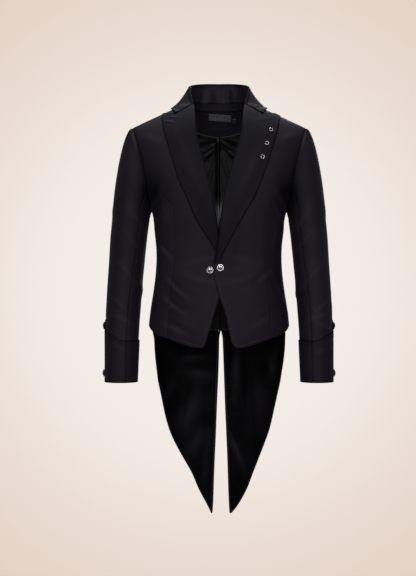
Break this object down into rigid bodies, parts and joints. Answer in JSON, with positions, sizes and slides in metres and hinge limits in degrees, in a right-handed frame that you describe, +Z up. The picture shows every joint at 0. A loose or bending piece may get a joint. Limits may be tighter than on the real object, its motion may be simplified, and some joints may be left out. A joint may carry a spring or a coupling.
{
  "type": "tailcoat",
  "caption": "Black cutaway tailcoat in its worn shape, hollow and open at neck, hem and cuffs, with peaked lapels, a standing collar, turned cuffs and a pair of tails.",
  "frame": {"origin": "middle of the body between the shoulders, at the height where the neck meets them; the wearer holds the coat there", "axes": "+Z up along the body, -Y towards the front of the coat, +X towards the wearer's left"},
  "size_m": [0.5998, 0.2475, 1.1379],
  "materials": {
    "black_twill": "soft matt wool twill with a slight sheen",
    "black_satin": "smooth satin lining",
    "grey_label": "woven, bare",
    "silver_metal": "polished silver colour"
  },
  "bodies": {
    "root": {"back_left": "black_twill", "back_lining": "black_satin", "back_right": "black_twill", "collar": "black_twill", "collar_band": "black_twill", "cuff_button_lower_left": "silver_metal", "cuff_button_lower_right": "silver_metal", "cuff_button_upper_left": "silver_metal", "cuff_button_upper_right": "silver_metal", "cuff_left": "black_twill", "cuff_right": "black_twill", "eyelet_1": "silver_metal", "eyelet_2": "silver_metal", "eyelet_3": "silver_metal", "front_button_left": "silver_metal", "front_button_right": "silver_metal", "front_left": "black_twill", "front_right": "black_twill", "label": "grey_label", "lapel_left": "black_twill", "lapel_right": "black_twill", "neck_facing": "black_twill", "side_left": "black_twill", "side_right": "black_twill", "size_tab": "black_satin", "tail_left": "black_twill", "tail_lining_left": "black_satin", "tail_lining_right": "black_satin", "tail_right": "black_twill", "top_sleeve_left": "black_twill", "top_sleeve_right": "black_twill", "under_sleeve_left": "black_twill", "under_sleeve_right": "black_twill"}
  },
  "joints": []
}
